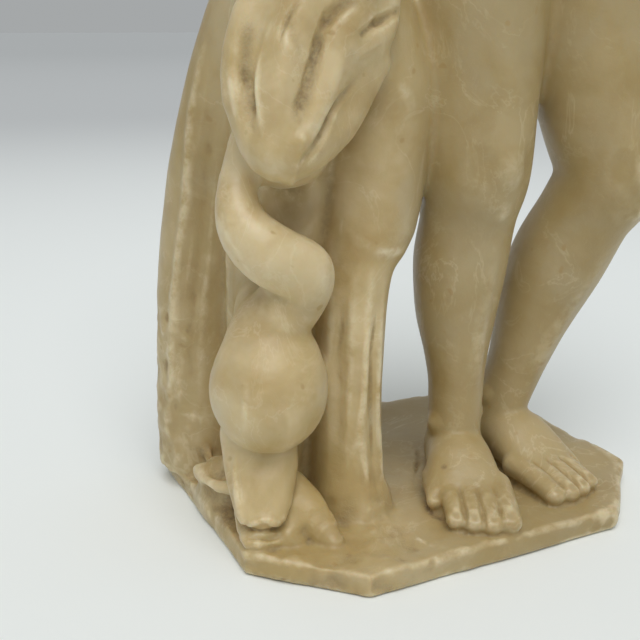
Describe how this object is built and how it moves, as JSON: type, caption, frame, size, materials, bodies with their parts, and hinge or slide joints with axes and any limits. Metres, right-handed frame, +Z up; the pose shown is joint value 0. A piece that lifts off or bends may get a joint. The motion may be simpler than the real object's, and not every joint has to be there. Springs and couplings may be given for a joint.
{
  "type": "classical marble statuette of a standing goddess",
  "caption": "Carved stone statuette: a standing nude goddess beside a draped pillar with a dolphin at its foot, on a thin plinth with cut-off corners.",
  "frame": {"origin": "middle of the plinth's underside", "axes": "+Z up, -Y the way the figure faces, +X the figure's left"},
  "size_m": [0.1857, 0.1296, 0.4341],
  "materials": {
    "honey_marble": "soft hand-rubbed polish on the raised parts, with dull tool marks and brown dirt in the grooves"
  },
  "bodies": {
    "root": {"statue": "honey_marble"}
  },
  "joints": []
}
